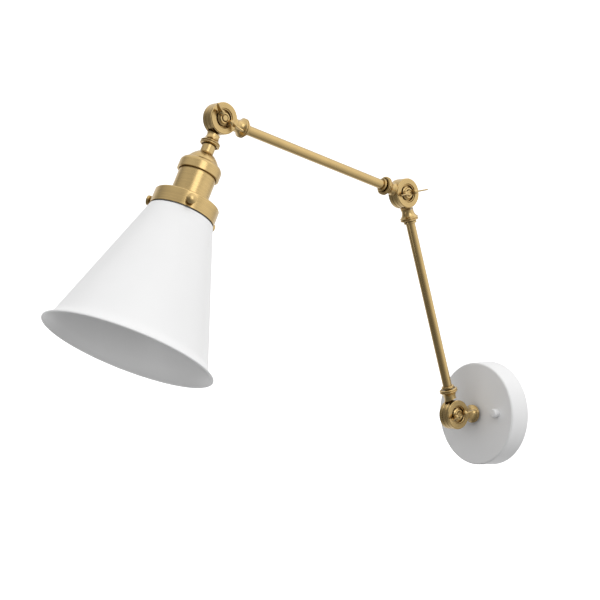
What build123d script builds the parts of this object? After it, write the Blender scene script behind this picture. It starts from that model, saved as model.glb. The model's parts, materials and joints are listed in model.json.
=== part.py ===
from build123d import *
import os
from math import cos, radians, sin

# Swing arm wall sconce: a white canopy, three clamped knuckles, two brass arms and a conical shade.
# Millimetres. Origin: centre of the canopy's back on the wall plane (y = 0). +Z is up, the lamp
# reaches out along -Y, and every hinge axis is parallel to X. Arm-plane angles run from -Y up to +Z.

# Pose in which the lamp is drawn
LOWER_ANGLE = 72.6
UPPER_ANGLE = 13.8
HEAD_ANGLE = -64.6
WING_ANGLES = {"wall": 16.5, "elbow": 12.6, "head": -38.5}  # wing line, from +Y up to +Z

# Arms
TUBE_LENGTH = 197.0
TUBE_R = 5.2
TUBE_BORE_R = 4.2
WIRE_R = 1.0
WIRE_OFFSET = 1.78
WIRE_END_GAP = 3.0

# Knuckle drum: two halves clamped on one bolt, the back half on -X and the front half on +X
DRUM_R = 16.5
DRUM_HALF_WIDTH = 7.75
BACK_FACE_X = -2.6
FRONT_FACE_X = -2.0
CHAMBER_R = 12.2
BACK_CHAMBER_X = -6.1
FRONT_CHAMBER_X = 2.8
BACK_BOSS_R = 6.8
FRONT_BOSS_R = 4.6
DISH_R = 9.4
DISH_EDGE = 1.2
DISH_X = 4.6
EDGE = 0.8
SPLIT_CHAMFER = 0.5
RIM_GROOVE_X = 2.95
RIM_GROOVE = 0.7
NECK_CLEAR_R = 19.2  # a neck hangs over the other half of the drum and clears it

# Knuckle neck, heights measured from the hinge axis
NECK_FOOT = 13.5
NECK_R = 7.3
NECK_BORE_R = 2.8
NECK_BORE_FOOT = 19.5
NECK_STRAIGHT_END = 17.6
WAIST_R = 6.8
WAIST_AT = 22.0
FLANGE_R = 10.35
FLANGE_FOOT = 27.4
RIDGE = 1.2
RIDGE_GAP = 1.0
RIDGE_SINK = 0.35
GROOVE_SINK = 0.85
FRONT_PASSAGE_X = 0.3
FRONT_PASSAGE_R = 2.2
BACK_PASSAGE_X = -4.3
BACK_PASSAGE_R = 1.6
BACK_LINK_X = -3.0
BACK_LINK = (3.6, 2.6, 2.0)  # slot that joins the back passage to the neck's bore
SEAT_HEIGHT = 30.2
FLANGE_TOP = 31.2
RECESS_R = 8.4
SPIGOT_R = 4.15
SPIGOT_LENGTH = 9.0
TUBE_SEAT = 31.9
FERRULE_R = 7.2
FERRULE_TOP = 34.5

# Hinge hardware
BOLT_R = 3.0
RUNNING = 0.06
BOLT_HEAD_R = 5.1
BOLT_HEAD_SEAT = -5.85
BOLT_HEAD_TOP = -8.6
BOLT_HEAD_RIM = -7.7
BOLT_END = 9.6
SLOT_WIDTH = 1.2
SLOT_DEPTH = 1.2
WASHER_INNER_R = 12.6
WASHER_OUTER_R = 14.8
SPRING_WASHER_R = 7.2
SPRING_WASHER_TOP = 5.4
NUT_BASE_R = 7.6
NUT_HUB_R = 5.6
NUT_HUB_TOP = 9.0
NUT_CUP = 1.1
NUT_FLANGE = 1.2
NUT_BREAK = 0.6
WING_FOOT = 7.4
WING_UNDER = (14.4, 11.2)  # lowest bend of the wing's underside
WING_BELLY = (20.0, 16.6)
WING_R = 20.6
WING_TOP = 18.9
WING_CREST = (12.4, 15.7)
WING_START = (7.6, 14.5)
WING_HUB_TOP = 13.9
WING_THICK = 1.5
WING_ROOT_R = 3.0
WING_ROOT_AT = 7.3
WING_ROOT_HEIGHT = 11.4

# Canopy and wall plate, depths measured out from the wall
CANOPY_R = 60.0
CANOPY_FACE_R = 58.9
CANOPY_DEPTH = 25.0
CANOPY_WALL = 1.2
CANOPY_EDGE = 2.2
SEAT_GAP = 34.05  # hinge axis to canopy face
NIPPLE_R = 4.6
NIPPLE_BORE_R = 3.2
NIPPLE_FOOT = 20.5
NIPPLE_END = 43.0
LOCK_WASHER = 1.0
LOCKNUT = 3.5
LOCKNUT_FLATS = 16.0
PLATE_R = 54.0
PLATE_THICK = 1.6
PLATE_HOLE_R = 16.0
SLOT_CENTRE = 39.7
SLOT_LENGTH = 14.0
SLOT_HALF_WIDTH = 2.5
STUD_X = 34.5
STUD_TURN = 3.0  # the stud line is turned a little off level
STUD_R = 2.0
STUD_END = 30.2
CAP_NUT_R = 5.1
CAP_NUT_LENGTH = 7.0
CAP_NUT_EDGE = 1.8
GROUND_SCREW_AT = 26.0
GROUND_SCREW_HEAD_R = 4.0
GROUND_SCREW_HEAD = 2.4

# Lamp head, distances along the head axis from the head hinge
STEM_R = 7.0
STEM_END = 40.0
STEM_THREAD_R = 4.9
STEM_THREAD_END = 46.0
STEM_BORE_R = 3.2
STEM_SOCKET_END = 39.3
CAP_BAND_R = 22.1
CAP_BAND_TOP = 57.0
CAP_BAND_END = 65.0
CAP_BAND_GAP = 0.5
CAP_BAND_LIP = 0.5
CAP_DOME = ((11.0, 42.6), (15.3, 48.6), (17.2, 51.4))
CAP_SHOULDER = (20.8, 53.6)
CAP_LINING = ((16.4, 52.9), (14.2, 49.4), (11.6, 45.1))
CAP_FLOOR_R = 8.8
CAP_STEP_GAP = 0.05
CAP_NUT_SEAT = 42.2
STEM_NUT = 3.0
STEM_NUT_FLATS = 12.8
BODY_R = 19.5
BODY_WALL = 0.8
BODY_TOP = 55.0
BODY_END = 104.0
CAP_STEP = 60.0
INSULATOR_TOP = 66.0
INSULATOR_END = 74.0
SHELL_BORE_R = 13.2
SHELL_WALL = 0.4
SHELL_END = 101.0
SLEEVE_R = 17.6
SLEEVE_WALL = 0.7
SLEEVE_END = 103.0
CONTACT_R = 4.0
CONTACT_FOOT = 72.0
CONTACT_END = 74.2
TERMINAL_X = 11.0
TERMINAL_HEAD_R = 3.0
TERMINAL_HEAD = 2.4
TERMINAL_R = 1.5
TERMINAL_LENGTH = 5.0
LEAD_R = 0.9
LEAD_OFFSET = 1.4
LEAD_START = 34.0
LEAD_TURN = 48.0
LEAD_DROP = 6.0
LEAD_BEND_R = 5.0
GALLERY_R = 34.0
GALLERY_WALL = 1.2
GALLERY_TOP = 94.0
GALLERY_END = 110.4
GALLERY_EDGE = 1.6
RING_NUT_R = 23.0
RING_NUT = 3.5
SHADE_WALL = 0.9
SHADE_NECK_R = 30.4
SHADE_LIP_R = 31.9
SHADE_LIP = 1.2
SHADE_TOP = 96.7
SHADE_NECK_END = 108.9
SHOULDER_S = 111.5
SHOULDER_R = 33.0
CONE_START = 112.8
CONE_START_R = 34.2
CONE_END = 247.0
CONE_END_R = 79.4
RIM_S = 258.6
RIM_R = 88.0
RIM_BEAD_R = 1.1
SCREW_S = 103.6
SCREW_TURN = 26.0
SCREW_COUNT = 3
SCREW_R = 1.6
SCREW_TIP = 30.5
SCREW_NECK_R = 2.6
SCREW_NECK_END = 37.2
SCREW_HEAD_R = 5.2
SCREW_HEAD_FLARE = 0.6
SCREW_HEAD_RIM = 40.6
SCREW_HEAD_END = 42.2

# Places worked out from the sizes above
PIVOT_SPAN = TUBE_LENGTH + 2 * TUBE_SEAT
BOTTOM = (Align.CENTER, Align.CENTER, Align.MIN)


def direction(angle):
    """Unit vector in the arm plane."""
    return Vector(0, -cos(radians(angle)), sin(radians(angle)))


def along(pivot, angle):
    """Placement with local +Z along an arm-plane angle and local +X kept as the hinge axis."""
    return Location((pivot.X, pivot.Y, pivot.Z), (90 - angle, 0, 0))


WALL_PIVOT = Vector(0, -CANOPY_DEPTH - SEAT_GAP, 0)
ELBOW_PIVOT = WALL_PIVOT + direction(LOWER_ANGLE) * PIVOT_SPAN
HEAD_PIVOT = ELBOW_PIVOT + direction(UPPER_ANGLE) * PIVOT_SPAN

WALL = along(Vector(0, 0, 0), 0)
COLLAR = along(WALL_PIVOT, 180)
LOWER = along(WALL_PIVOT, LOWER_ANGLE)
LOWER_END = along(ELBOW_PIVOT, LOWER_ANGLE + 180)
UPPER = along(ELBOW_PIVOT, UPPER_ANGLE)
UPPER_END = along(HEAD_PIVOT, UPPER_ANGLE + 180)
HEAD = along(HEAD_PIVOT, HEAD_ANGLE)


def turned(*curves):
    """Solid of revolution about Z from closed curves drawn as (radius, height)."""
    return revolve(Plane.XZ * make_face(Curve() + list(curves)), Axis.Z, 360)


def rod(r, z0, z1):
    return Pos(0, 0, z0) * Cylinder(r, z1 - z0, align=BOTTOM)


def ring(r, bore, z0, z1):
    return rod(r, z0, z1) - rod(bore, z0, z1)


def on_x(shape):
    """Turn a shape built about Z so that its axis becomes X."""
    return Rot(0, 90, 0) * shape


def crown(r, edge, top):
    """Spherical arc from the rim of a domed head at (r, edge) to the axis at (0, top)."""
    height = top - edge
    sphere_r = (r * r + height * height) / (2 * height)
    middle = top - sphere_r + (sphere_r**2 - r * r / 4) ** 0.5 * (1 if height > 0 else -1)
    return ThreePointArc((r, edge), (r / 2, middle), (0, top))


def hex_nut(flats, bore, z0, z1):
    outline = RegularPolygon(flats / 2, 6, major_radius=False)
    return Pos(0, 0, z0) * extrude(outline, z1 - z0) - rod(bore, z0, z1)


def write(name, shape):
    export_step(shape, f"parts/{name}.step")


def write_group(name, shapes):
    write(name, Compound(children=[s.solid() for s in shapes]))


# ---------------------------------------------------------------- knuckles
def back_drum():
    """Half drum with the bolt head's counterbore and the wire chamber, open toward +X."""
    face = -DRUM_HALF_WIDTH
    outline = Polyline(
        (DRUM_R - EDGE, face),
        (BOLT_HEAD_R + 0.1, face),
        (BOLT_HEAD_R + 0.1, BOLT_HEAD_SEAT),
        (BOLT_R, BOLT_HEAD_SEAT),
        (BOLT_R, BACK_FACE_X),
        (BACK_BOSS_R, BACK_FACE_X),
        (BACK_BOSS_R, BACK_CHAMBER_X),
        (CHAMBER_R, BACK_CHAMBER_X),
        (CHAMBER_R, BACK_FACE_X),
        (DRUM_R - SPLIT_CHAMFER, BACK_FACE_X),
        (DRUM_R, BACK_FACE_X - SPLIT_CHAMFER),
        (DRUM_R, face + EDGE),
    )
    edge = RadiusArc((DRUM_R, face + EDGE), (DRUM_R - EDGE, face), -EDGE)
    return on_x(turned(outline, edge))


def front_drum():
    """Half drum with the wing nut's dish, a groove round the rim and the wire chamber."""
    face = DRUM_HALF_WIDTH
    bore = BOLT_R + RUNNING
    outline = Polyline(
        (DISH_R, face - DISH_EDGE),
        (DISH_R, DISH_X),
        (bore, DISH_X),
        (bore, FRONT_FACE_X),
        (FRONT_BOSS_R, FRONT_FACE_X),
        (FRONT_BOSS_R, FRONT_CHAMBER_X),
        (CHAMBER_R, FRONT_CHAMBER_X),
        (CHAMBER_R, FRONT_FACE_X),
        (DRUM_R - SPLIT_CHAMFER, FRONT_FACE_X),
        (DRUM_R, FRONT_FACE_X + SPLIT_CHAMFER),
        (DRUM_R, RIM_GROOVE_X - RIM_GROOVE),
        (DRUM_R - RIM_GROOVE, RIM_GROOVE_X),
        (DRUM_R, RIM_GROOVE_X + RIM_GROOVE),
        (DRUM_R, face - EDGE),
    )
    edge = RadiusArc((DRUM_R, face - EDGE), (DRUM_R - EDGE, face), EDGE)
    flat = Line((DRUM_R - EDGE, face), (DISH_R + DISH_EDGE, face))
    lip = RadiusArc((DISH_R + DISH_EDGE, face), (DISH_R, face - DISH_EDGE), DISH_EDGE)
    return on_x(turned(outline, edge, flat, lip))


def neck(end_r, end):
    """Turned neck: a waist that sweeps out to a double-ridged flange, then a spigot or a plain seat."""
    edge = FLANGE_R - RIDGE_SINK
    ridges = [FLANGE_FOOT, FLANGE_FOOT + RIDGE + RIDGE_GAP]
    groove = (ridges[0] + RIDGE, ridges[1])
    curves = [
        Polyline((0, end), (0, NECK_FOOT), (NECK_R, NECK_FOOT), (NECK_R, NECK_STRAIGHT_END)),
        ThreePointArc((NECK_R, NECK_STRAIGHT_END), (WAIST_R, WAIST_AT), (edge, FLANGE_FOOT)),
        ThreePointArc((edge, groove[0]), (FLANGE_R - GROOVE_SINK, sum(groove) / 2), (edge, groove[1])),
        Polyline(
            (edge, ridges[1] + RIDGE),
            (RECESS_R + 0.5, FLANGE_TOP),
            (RECESS_R, FLANGE_TOP),
            (RECESS_R, SEAT_HEIGHT),
            (end_r, SEAT_HEIGHT),
            (end_r, end),
            (0, end),
        ),
    ]
    curves += [ThreePointArc((edge, z), (FLANGE_R, z + RIDGE / 2), (edge, z + RIDGE)) for z in ridges]
    return turned(*curves)


def knuckle(front, spigot=True):
    """One knuckle half with its neck along +Z; the neck is relieved over the other half."""
    split = FRONT_FACE_X if front else BACK_FACE_X
    reach = 2 * DRUM_HALF_WIDTH
    relief = rod(NECK_CLEAR_R, split - reach, split) if front else rod(NECK_CLEAR_R, split, split + reach)
    end = SEAT_HEIGHT + SPIGOT_LENGTH if spigot else FLANGE_TOP
    stub = neck(SPIGOT_R, end) if spigot else neck(NIPPLE_R, FLANGE_TOP)
    half = (front_drum() if front else back_drum()) + (stub - on_x(relief))
    half -= rod(NECK_BORE_R, NECK_BORE_FOOT, end)
    if front:
        half -= Pos(FRONT_PASSAGE_X, 0, 0) * rod(FRONT_PASSAGE_R, CHAMBER_R - 1, NECK_BORE_FOOT + 1)
    else:
        half -= Pos(BACK_PASSAGE_X, 0, 0) * rod(BACK_PASSAGE_R, CHAMBER_R - 1, NECK_BORE_FOOT + 2)
        half -= Pos(BACK_LINK_X, 0, NECK_BORE_FOOT + 1) * Box(*BACK_LINK)
    if not spigot:
        half -= rod(NIPPLE_R, NIPPLE_FOOT, FLANGE_TOP)
    return half


def hinge_bolt():
    """Slotted screw through the drum, head on the back half and thread end in front."""
    shank = rod(BOLT_R, BOLT_HEAD_SEAT, BOLT_END)
    head = turned(
        Polyline(
            (0, BOLT_HEAD_TOP),
            (0, BOLT_HEAD_SEAT),
            (BOLT_HEAD_R, BOLT_HEAD_SEAT),
            (BOLT_HEAD_R, BOLT_HEAD_RIM),
        ),
        crown(BOLT_HEAD_R, BOLT_HEAD_RIM, BOLT_HEAD_TOP),
    )
    slot = Pos(0, 0, BOLT_HEAD_TOP) * Box(SLOT_WIDTH, 3 * BOLT_HEAD_R, 2 * SLOT_DEPTH)
    return on_x(chamfer(shank.edges().sort_by(Axis.Z)[-1], 0.5) + (head - slot))


def wing_nut(wing_angle):
    """Round base and hub with two thin wings that leave a rounded root and sweep out past the drum."""
    bore = BOLT_R + RUNNING
    low = SPRING_WASHER_TOP
    base = turned(
        Polyline(
            (bore, low),
            (NUT_BASE_R, low),
            (NUT_BASE_R, low + NUT_FLANGE),
            (NUT_HUB_R + NUT_BREAK, low + 2 * NUT_FLANGE),
            (NUT_HUB_R, NUT_HUB_TOP - NUT_BREAK),
            (NUT_HUB_R - NUT_BREAK, NUT_HUB_TOP),
            (bore + NUT_CUP, NUT_HUB_TOP),
            (bore, NUT_HUB_TOP - NUT_CUP),
            (bore, low),
        )
    )
    root = NUT_HUB_R - 1
    tip = (WING_R - 1, WING_TOP)
    wing = make_face(
        Curve()
        + [
            Polyline((root, WING_FOOT), (NUT_BASE_R, WING_FOOT)),
            ThreePointArc((NUT_BASE_R, WING_FOOT), WING_UNDER, WING_BELLY),
            ThreePointArc(WING_BELLY, (WING_R, WING_TOP - 0.8), tip),
            ThreePointArc(tip, WING_CREST, WING_START),
            Polyline(WING_START, (root, WING_HUB_TOP), (root, WING_FOOT)),
        ]
    )
    blade = extrude(Plane.XZ * wing, WING_THICK / 2, both=True)
    blade += Pos(WING_ROOT_AT, 0, WING_ROOT_HEIGHT) * Sphere(WING_ROOT_R)
    nut = base + blade + Rot(0, 0, 180) * blade
    return Rot(wing_angle, 0, 0) * on_x(Rot(0, 0, 90) * nut)


def friction_washer():
    return on_x(ring(WASHER_OUTER_R, WASHER_INNER_R, BACK_FACE_X, FRONT_FACE_X))


def spring_washer():
    return on_x(ring(SPRING_WASHER_R, BOLT_R + 0.2, DISH_X, SPRING_WASHER_TOP))


def build_hinge(name, pivot):
    place = Pos(pivot.X, pivot.Y, pivot.Z)
    write(f"{name}_hinge_bolt", place * hinge_bolt())
    write(f"{name}_friction_washer", place * friction_washer())
    write(f"{name}_spring_washer", place * spring_washer())
    write(f"{name}_wing_nut", place * wing_nut(WING_ANGLES[name]))


# ---------------------------------------------------------------- wall side
def stud_places():
    """Placements of the two canopy studs, on one line through the canopy's centre."""
    return [Rot(0, 0, STUD_TURN) * Pos(x, 0, 0) for x in (-STUD_X, STUD_X)]


def canopy():
    face_r = CANOPY_FACE_R - CANOPY_EDGE
    side = CANOPY_DEPTH - CANOPY_EDGE
    inner_r = CANOPY_R - CANOPY_WALL
    floor = CANOPY_DEPTH - CANOPY_WALL
    hole = NIPPLE_R + RUNNING
    shell = turned(
        Line((CANOPY_R, 0), (CANOPY_FACE_R, side)),
        RadiusArc((CANOPY_FACE_R, side), (face_r, CANOPY_DEPTH), CANOPY_EDGE),
        Polyline((face_r, CANOPY_DEPTH), (hole, CANOPY_DEPTH), (hole, floor), (face_r, floor)),
        RadiusArc((face_r, floor), (CANOPY_FACE_R - CANOPY_WALL, side), -CANOPY_EDGE + CANOPY_WALL),
        Polyline((CANOPY_FACE_R - CANOPY_WALL, side), (inner_r, 0), (CANOPY_R, 0)),
    )
    for place in stud_places():
        shell -= place * rod(STUD_R + RUNNING, floor - 1, CANOPY_DEPTH + 1)
    return shell


def mounting_plate():
    """Round plate on the wall box: two box-screw slots on the Z line and two stud holes."""
    plate = ring(PLATE_R, PLATE_HOLE_R, 0, PLATE_THICK)
    slot = extrude(SlotOverall(SLOT_LENGTH, 2 * SLOT_HALF_WIDTH, rotation=90), PLATE_THICK)
    for side in (-1, 1):
        plate -= Pos(0, side * SLOT_CENTRE, 0) * slot
    for place in stud_places():
        plate -= place * rod(STUD_R, 0, PLATE_THICK)
    return plate - Pos(GROUND_SCREW_AT, GROUND_SCREW_AT, 0) * rod(STUD_R, 0, PLATE_THICK)


def cap_nut():
    top = CANOPY_DEPTH + CAP_NUT_LENGTH
    side = top - CAP_NUT_EDGE
    crest_r = CAP_NUT_R - CAP_NUT_EDGE
    body = turned(
        Polyline((0, top), (0, CANOPY_DEPTH), (CAP_NUT_R, CANOPY_DEPTH), (CAP_NUT_R, side)),
        RadiusArc((CAP_NUT_R, side), (crest_r, top), CAP_NUT_EDGE),
        Line((crest_r, top), (0, top)),
    )
    return body - rod(STUD_R, CANOPY_DEPTH, STUD_END)


def ground_screw():
    head = rod(GROUND_SCREW_HEAD_R, PLATE_THICK, PLATE_THICK + GROUND_SCREW_HEAD)
    top = PLATE_THICK + GROUND_SCREW_HEAD
    slot = Pos(0, 0, top) * Box(SLOT_WIDTH, 3 * GROUND_SCREW_HEAD_R, SLOT_DEPTH * 2)
    screw = rod(STUD_R, 0, PLATE_THICK) + head - slot
    return Pos(GROUND_SCREW_AT, GROUND_SCREW_AT, 0) * screw


def build_wall_side():
    write("canopy", WALL * canopy())
    write("mounting_plate", WALL * mounting_plate())
    write("ground_screw", WALL * ground_screw())
    write_group("mounting_studs", [WALL * place * rod(STUD_R, 0, STUD_END) for place in stud_places()])
    write_group("canopy_cap_nuts", [WALL * place * cap_nut() for place in stud_places()])
    washer_foot = SEAT_GAP + CANOPY_WALL
    nut_foot = washer_foot + LOCK_WASHER
    write("wall_knuckle", COLLAR * knuckle(front=True, spigot=False))
    write("wall_seat_ring", COLLAR * ring(FERRULE_R, NIPPLE_R, SEAT_HEIGHT, SEAT_GAP))
    write("wall_nipple", COLLAR * ring(NIPPLE_R, NIPPLE_BORE_R, NIPPLE_FOOT, NIPPLE_END))
    write("wall_lock_washer", COLLAR * ring(LOCKNUT_FLATS / 2, NIPPLE_R, washer_foot, nut_foot))
    write("wall_locknut", COLLAR * hex_nut(LOCKNUT_FLATS, NIPPLE_R, nut_foot, nut_foot + LOCKNUT))


# ---------------------------------------------------------------- arms
def ferrule():
    """Ring in the flange's recess that hides the end of the tube."""
    return ring(FERRULE_R, SPIGOT_R, SEAT_HEIGHT, FERRULE_TOP) - rod(TUBE_R, TUBE_SEAT, FERRULE_TOP)


def build_arm(name, start, end, front):
    """One arm: a knuckle half at each end, the tube, its two ferrules and the two wires inside."""
    start_knuckle, end_knuckle = ("wall", "elbow") if name == "lower_arm" else ("elbow", "head")
    write(f"{name}_{start_knuckle}_knuckle", start * knuckle(front))
    write(f"{name}_{end_knuckle}_knuckle", end * knuckle(front))
    write(f"{name}_tube", start * ring(TUBE_R, TUBE_BORE_R, TUBE_SEAT, PIVOT_SPAN - TUBE_SEAT))
    write_group(f"{name}_ferrules", [start * ferrule(), end * ferrule()])
    foot = SEAT_HEIGHT + WIRE_END_GAP
    wires = [start * Pos(x, 0, 0) * rod(WIRE_R, foot, PIVOT_SPAN - foot) for x in (-WIRE_OFFSET, WIRE_OFFSET)]
    write_group(f"{name}_wires", wires)


# ---------------------------------------------------------------- lamp head
def head_stem():
    stem = rod(STEM_R, SEAT_HEIGHT, STEM_END) + rod(STEM_THREAD_R, STEM_END, STEM_THREAD_END)
    stem -= rod(SPIGOT_R, SEAT_HEIGHT, STEM_SOCKET_END)
    return stem - rod(STEM_BORE_R, STEM_SOCKET_END, STEM_THREAD_END)


def socket_cap():
    """Bell-shaped cap: a dome from the stem, then a wide band that covers the socket body's top."""
    band_inner = BODY_R + CAP_BAND_GAP
    step_r = BODY_R + CAP_STEP_GAP
    floor = (CAP_FLOOR_R, CAP_NUT_SEAT)
    return turned(
        Line((STEM_THREAD_R, STEM_END), (STEM_R, STEM_END)),
        Spline((STEM_R, STEM_END), *CAP_DOME),
        ThreePointArc(CAP_DOME[-1], CAP_SHOULDER, (CAP_BAND_R, CAP_BAND_TOP)),
        Polyline(
            (CAP_BAND_R, CAP_BAND_TOP),
            (CAP_BAND_R, CAP_BAND_END - CAP_BAND_LIP),
            (CAP_BAND_R - CAP_BAND_LIP, CAP_BAND_END),
            (band_inner, CAP_BAND_END),
            (band_inner, CAP_STEP),
            (step_r, CAP_STEP),
            (step_r, BODY_TOP),
            CAP_LINING[0],
        ),
        Spline(*CAP_LINING, floor),
        Polyline(floor, (STEM_THREAD_R, CAP_NUT_SEAT), (STEM_THREAD_R, STEM_END)),
    )


def socket_insulator():
    """Porcelain block across the body: carries the shell, the centre contact and the terminals."""
    block = rod(BODY_R - BODY_WALL, INSULATOR_TOP, INSULATOR_END)
    block -= rod(CONTACT_R, CONTACT_FOOT, INSULATOR_END)
    for x in (-TERMINAL_X, TERMINAL_X):
        block -= Pos(x, 0, 0) * rod(TERMINAL_R, INSULATOR_TOP, INSULATOR_TOP + TERMINAL_LENGTH)
    return block


def screw_shell():
    """Lampholder thread shell, closed at the insulator round the centre contact."""
    outer = SHELL_BORE_R + SHELL_WALL
    tube = ring(outer, SHELL_BORE_R, INSULATOR_END, SHELL_END)
    return tube + ring(outer, CONTACT_R + 1.5, INSULATOR_END, INSULATOR_END + SHELL_WALL)


def centre_contact():
    """Contact button set flush in the insulator, so that a lamp cap can reach the shell's floor."""
    return chamfer(rod(CONTACT_R, CONTACT_FOOT, CONTACT_END).edges().sort_by(Axis.Z)[-1], 0.2)


def terminal_screw(x):
    top = INSULATOR_TOP - TERMINAL_HEAD
    screw = rod(TERMINAL_HEAD_R, top, INSULATOR_TOP)
    screw += rod(TERMINAL_R, INSULATOR_TOP, INSULATOR_TOP + TERMINAL_LENGTH)
    return Pos(x, 0, 0) * (screw - Pos(0, 0, top) * Box(SLOT_WIDTH, 3 * TERMINAL_HEAD_R, SLOT_DEPTH))


def socket_lead(side):
    """Wire from the stem's bore to the top of a terminal screw."""
    inner = side * LEAD_OFFSET
    outer = side * TERMINAL_X
    end = INSULATOR_TOP - TERMINAL_HEAD
    route = [(inner, 0, LEAD_START), (inner, 0, LEAD_TURN), (outer, 0, end - LEAD_DROP), (outer, 0, end)]
    path = FilletPolyline(*route, radius=LEAD_BEND_R)
    return sweep(Plane(route[0]) * Circle(LEAD_R), path=path)


def shade_gallery():
    """Ring that screws on the socket body and grips the shade's neck with three thumb screws."""
    corner = GALLERY_R - GALLERY_EDGE
    inner = GALLERY_R - GALLERY_WALL
    plate = GALLERY_TOP + GALLERY_WALL
    gallery = turned(
        Line((BODY_R, GALLERY_TOP), (corner, GALLERY_TOP)),
        RadiusArc((corner, GALLERY_TOP), (GALLERY_R, GALLERY_TOP + GALLERY_EDGE), GALLERY_EDGE),
        Polyline(
            (GALLERY_R, GALLERY_TOP + GALLERY_EDGE),
            (GALLERY_R, GALLERY_END),
            (inner, GALLERY_END),
            (inner, plate),
            (BODY_R, plate),
            (BODY_R, GALLERY_TOP),
        ),
    )
    for place in screw_places():
        gallery -= place * rod(SCREW_R + RUNNING, inner - 1, GALLERY_R + 1)
    return gallery


def shade_solid(inset, top):
    """Solid inside the shade's outer surface moved inward by inset, from top down to the rim."""
    lip = SHADE_TOP + SHADE_LIP
    neck_r = SHADE_NECK_R - inset
    neck_end = (neck_r, SHADE_NECK_END + inset)
    shoulder = (SHOULDER_R - inset, SHOULDER_S + inset)
    cone_start = (CONE_START_R - inset, CONE_START + inset * 0.7)
    cone_end = (CONE_END_R - inset, CONE_END + inset * 0.3)
    rim = (RIM_R - inset * 0.6, RIM_S + inset * 0.8)
    return turned(
        Polyline((0, top), (neck_r, top), (neck_r, lip), neck_end),
        ThreePointArc(neck_end, (SHOULDER_R - 1.8 - inset, SHOULDER_S - 0.6 + inset), shoulder),
        ThreePointArc(shoulder, (SHOULDER_R + 0.8 - inset, SHOULDER_S + 0.5 + inset), cone_start),
        Line(cone_start, cone_end),
        ThreePointArc(cone_end, (CONE_END_R + 3.3 - inset * 0.8, CONE_END + 6.5 + inset * 0.5), rim),
        Polyline(rim, (0, rim[1]), (0, top)),
    )


def shade():
    """Spun cone with a lipped neck, a short flare and a rolled rim."""
    shell = shade_solid(0, SHADE_TOP) - shade_solid(SHADE_WALL, SHADE_TOP - 1)
    lip = ring(SHADE_LIP_R, SHADE_NECK_R - SHADE_WALL, SHADE_TOP, SHADE_TOP + SHADE_LIP)
    bead = Pos(0, 0, RIM_S) * Torus(RIM_R, RIM_BEAD_R)
    return shell + lip + bead


def screw_places():
    """Placements with local +Z radially out of the head axis, one per thumb screw."""
    turns = [SCREW_TURN + 360 / SCREW_COUNT * i for i in range(SCREW_COUNT)]
    return [Pos(0, 0, SCREW_S) * Rot(0, 0, turn) * Rot(0, 90, 0) for turn in turns]


def thumb_screw():
    shoulder = GALLERY_R + 0.2
    return turned(
        Polyline(
            (0, SCREW_TIP),
            (SCREW_R, SCREW_TIP),
            (SCREW_R, shoulder),
            (SCREW_NECK_R, shoulder),
            (SCREW_NECK_R, SCREW_NECK_END),
            (SCREW_HEAD_R, SCREW_NECK_END + SCREW_HEAD_FLARE),
            (SCREW_HEAD_R, SCREW_HEAD_RIM),
        ),
        crown(SCREW_HEAD_R, SCREW_HEAD_RIM, SCREW_HEAD_END),
        Line((0, SCREW_HEAD_END), (0, SCREW_TIP)),
    )


def build_head():
    write("head_knuckle", HEAD * knuckle(front=False))
    write("head_stem", HEAD * head_stem())
    nut_top = CAP_NUT_SEAT + STEM_NUT
    write("stem_locknut", HEAD * hex_nut(STEM_NUT_FLATS, STEM_THREAD_R, CAP_NUT_SEAT, nut_top))
    write("socket_cap", HEAD * socket_cap())
    write("socket_body", HEAD * ring(BODY_R, BODY_R - BODY_WALL, BODY_TOP, BODY_END))
    write("socket_insulator", HEAD * socket_insulator())
    write("screw_shell", HEAD * screw_shell())
    write("centre_contact", HEAD * centre_contact())
    write("insulating_sleeve", HEAD * ring(SLEEVE_R, SLEEVE_R - SLEEVE_WALL, INSULATOR_END, SLEEVE_END))
    write_group("terminal_screws", [HEAD * terminal_screw(x) for x in (-TERMINAL_X, TERMINAL_X)])
    write_group("socket_leads", [HEAD * socket_lead(side) for side in (-1, 1)])
    plate = GALLERY_TOP + GALLERY_WALL
    write("shade_gallery", HEAD * shade_gallery())
    write("socket_ring_nut", HEAD * ring(RING_NUT_R, BODY_R, plate, plate + RING_NUT))
    write("shade", HEAD * shade())
    for i, place in enumerate(screw_places()):
        write(f"shade_thumb_screw_{i + 1}", HEAD * place * thumb_screw())


os.makedirs("parts", exist_ok=True)
build_wall_side()
build_arm("lower_arm", LOWER, LOWER_END, front=False)
build_arm("upper_arm", UPPER, UPPER_END, front=True)
for hinge, pivot in (("wall", WALL_PIVOT), ("elbow", ELBOW_PIVOT), ("head", HEAD_PIVOT)):
    build_hinge(hinge, pivot)
build_head()
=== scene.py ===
import json
from math import atan2, ceil, cos, hypot, pi, radians, sin, tan

import bmesh
import bpy
from bpy.props import FloatProperty, FloatVectorProperty, IntProperty, PointerProperty
from bpy.types import Operator, Panel, PropertyGroup
from mathutils import Matrix, Vector


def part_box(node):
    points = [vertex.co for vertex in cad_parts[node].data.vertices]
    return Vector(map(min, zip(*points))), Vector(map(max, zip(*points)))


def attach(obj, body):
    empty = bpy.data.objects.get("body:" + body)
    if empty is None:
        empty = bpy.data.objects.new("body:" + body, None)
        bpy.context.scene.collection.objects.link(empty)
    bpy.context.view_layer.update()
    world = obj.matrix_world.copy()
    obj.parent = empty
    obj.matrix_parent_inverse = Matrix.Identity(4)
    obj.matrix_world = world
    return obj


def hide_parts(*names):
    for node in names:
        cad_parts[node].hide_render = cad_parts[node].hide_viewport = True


bl_info = {
    "name": "Swing Arm Sconce",
    "version": (1, 0, 0),
    "blender": (4, 5, 0),
    "location": "3D View > Sidebar > Sconce",
    "description": "Builds a brass swing arm wall sconce with a white cone shade round its frame",
    "category": "Add Mesh",
}

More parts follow.
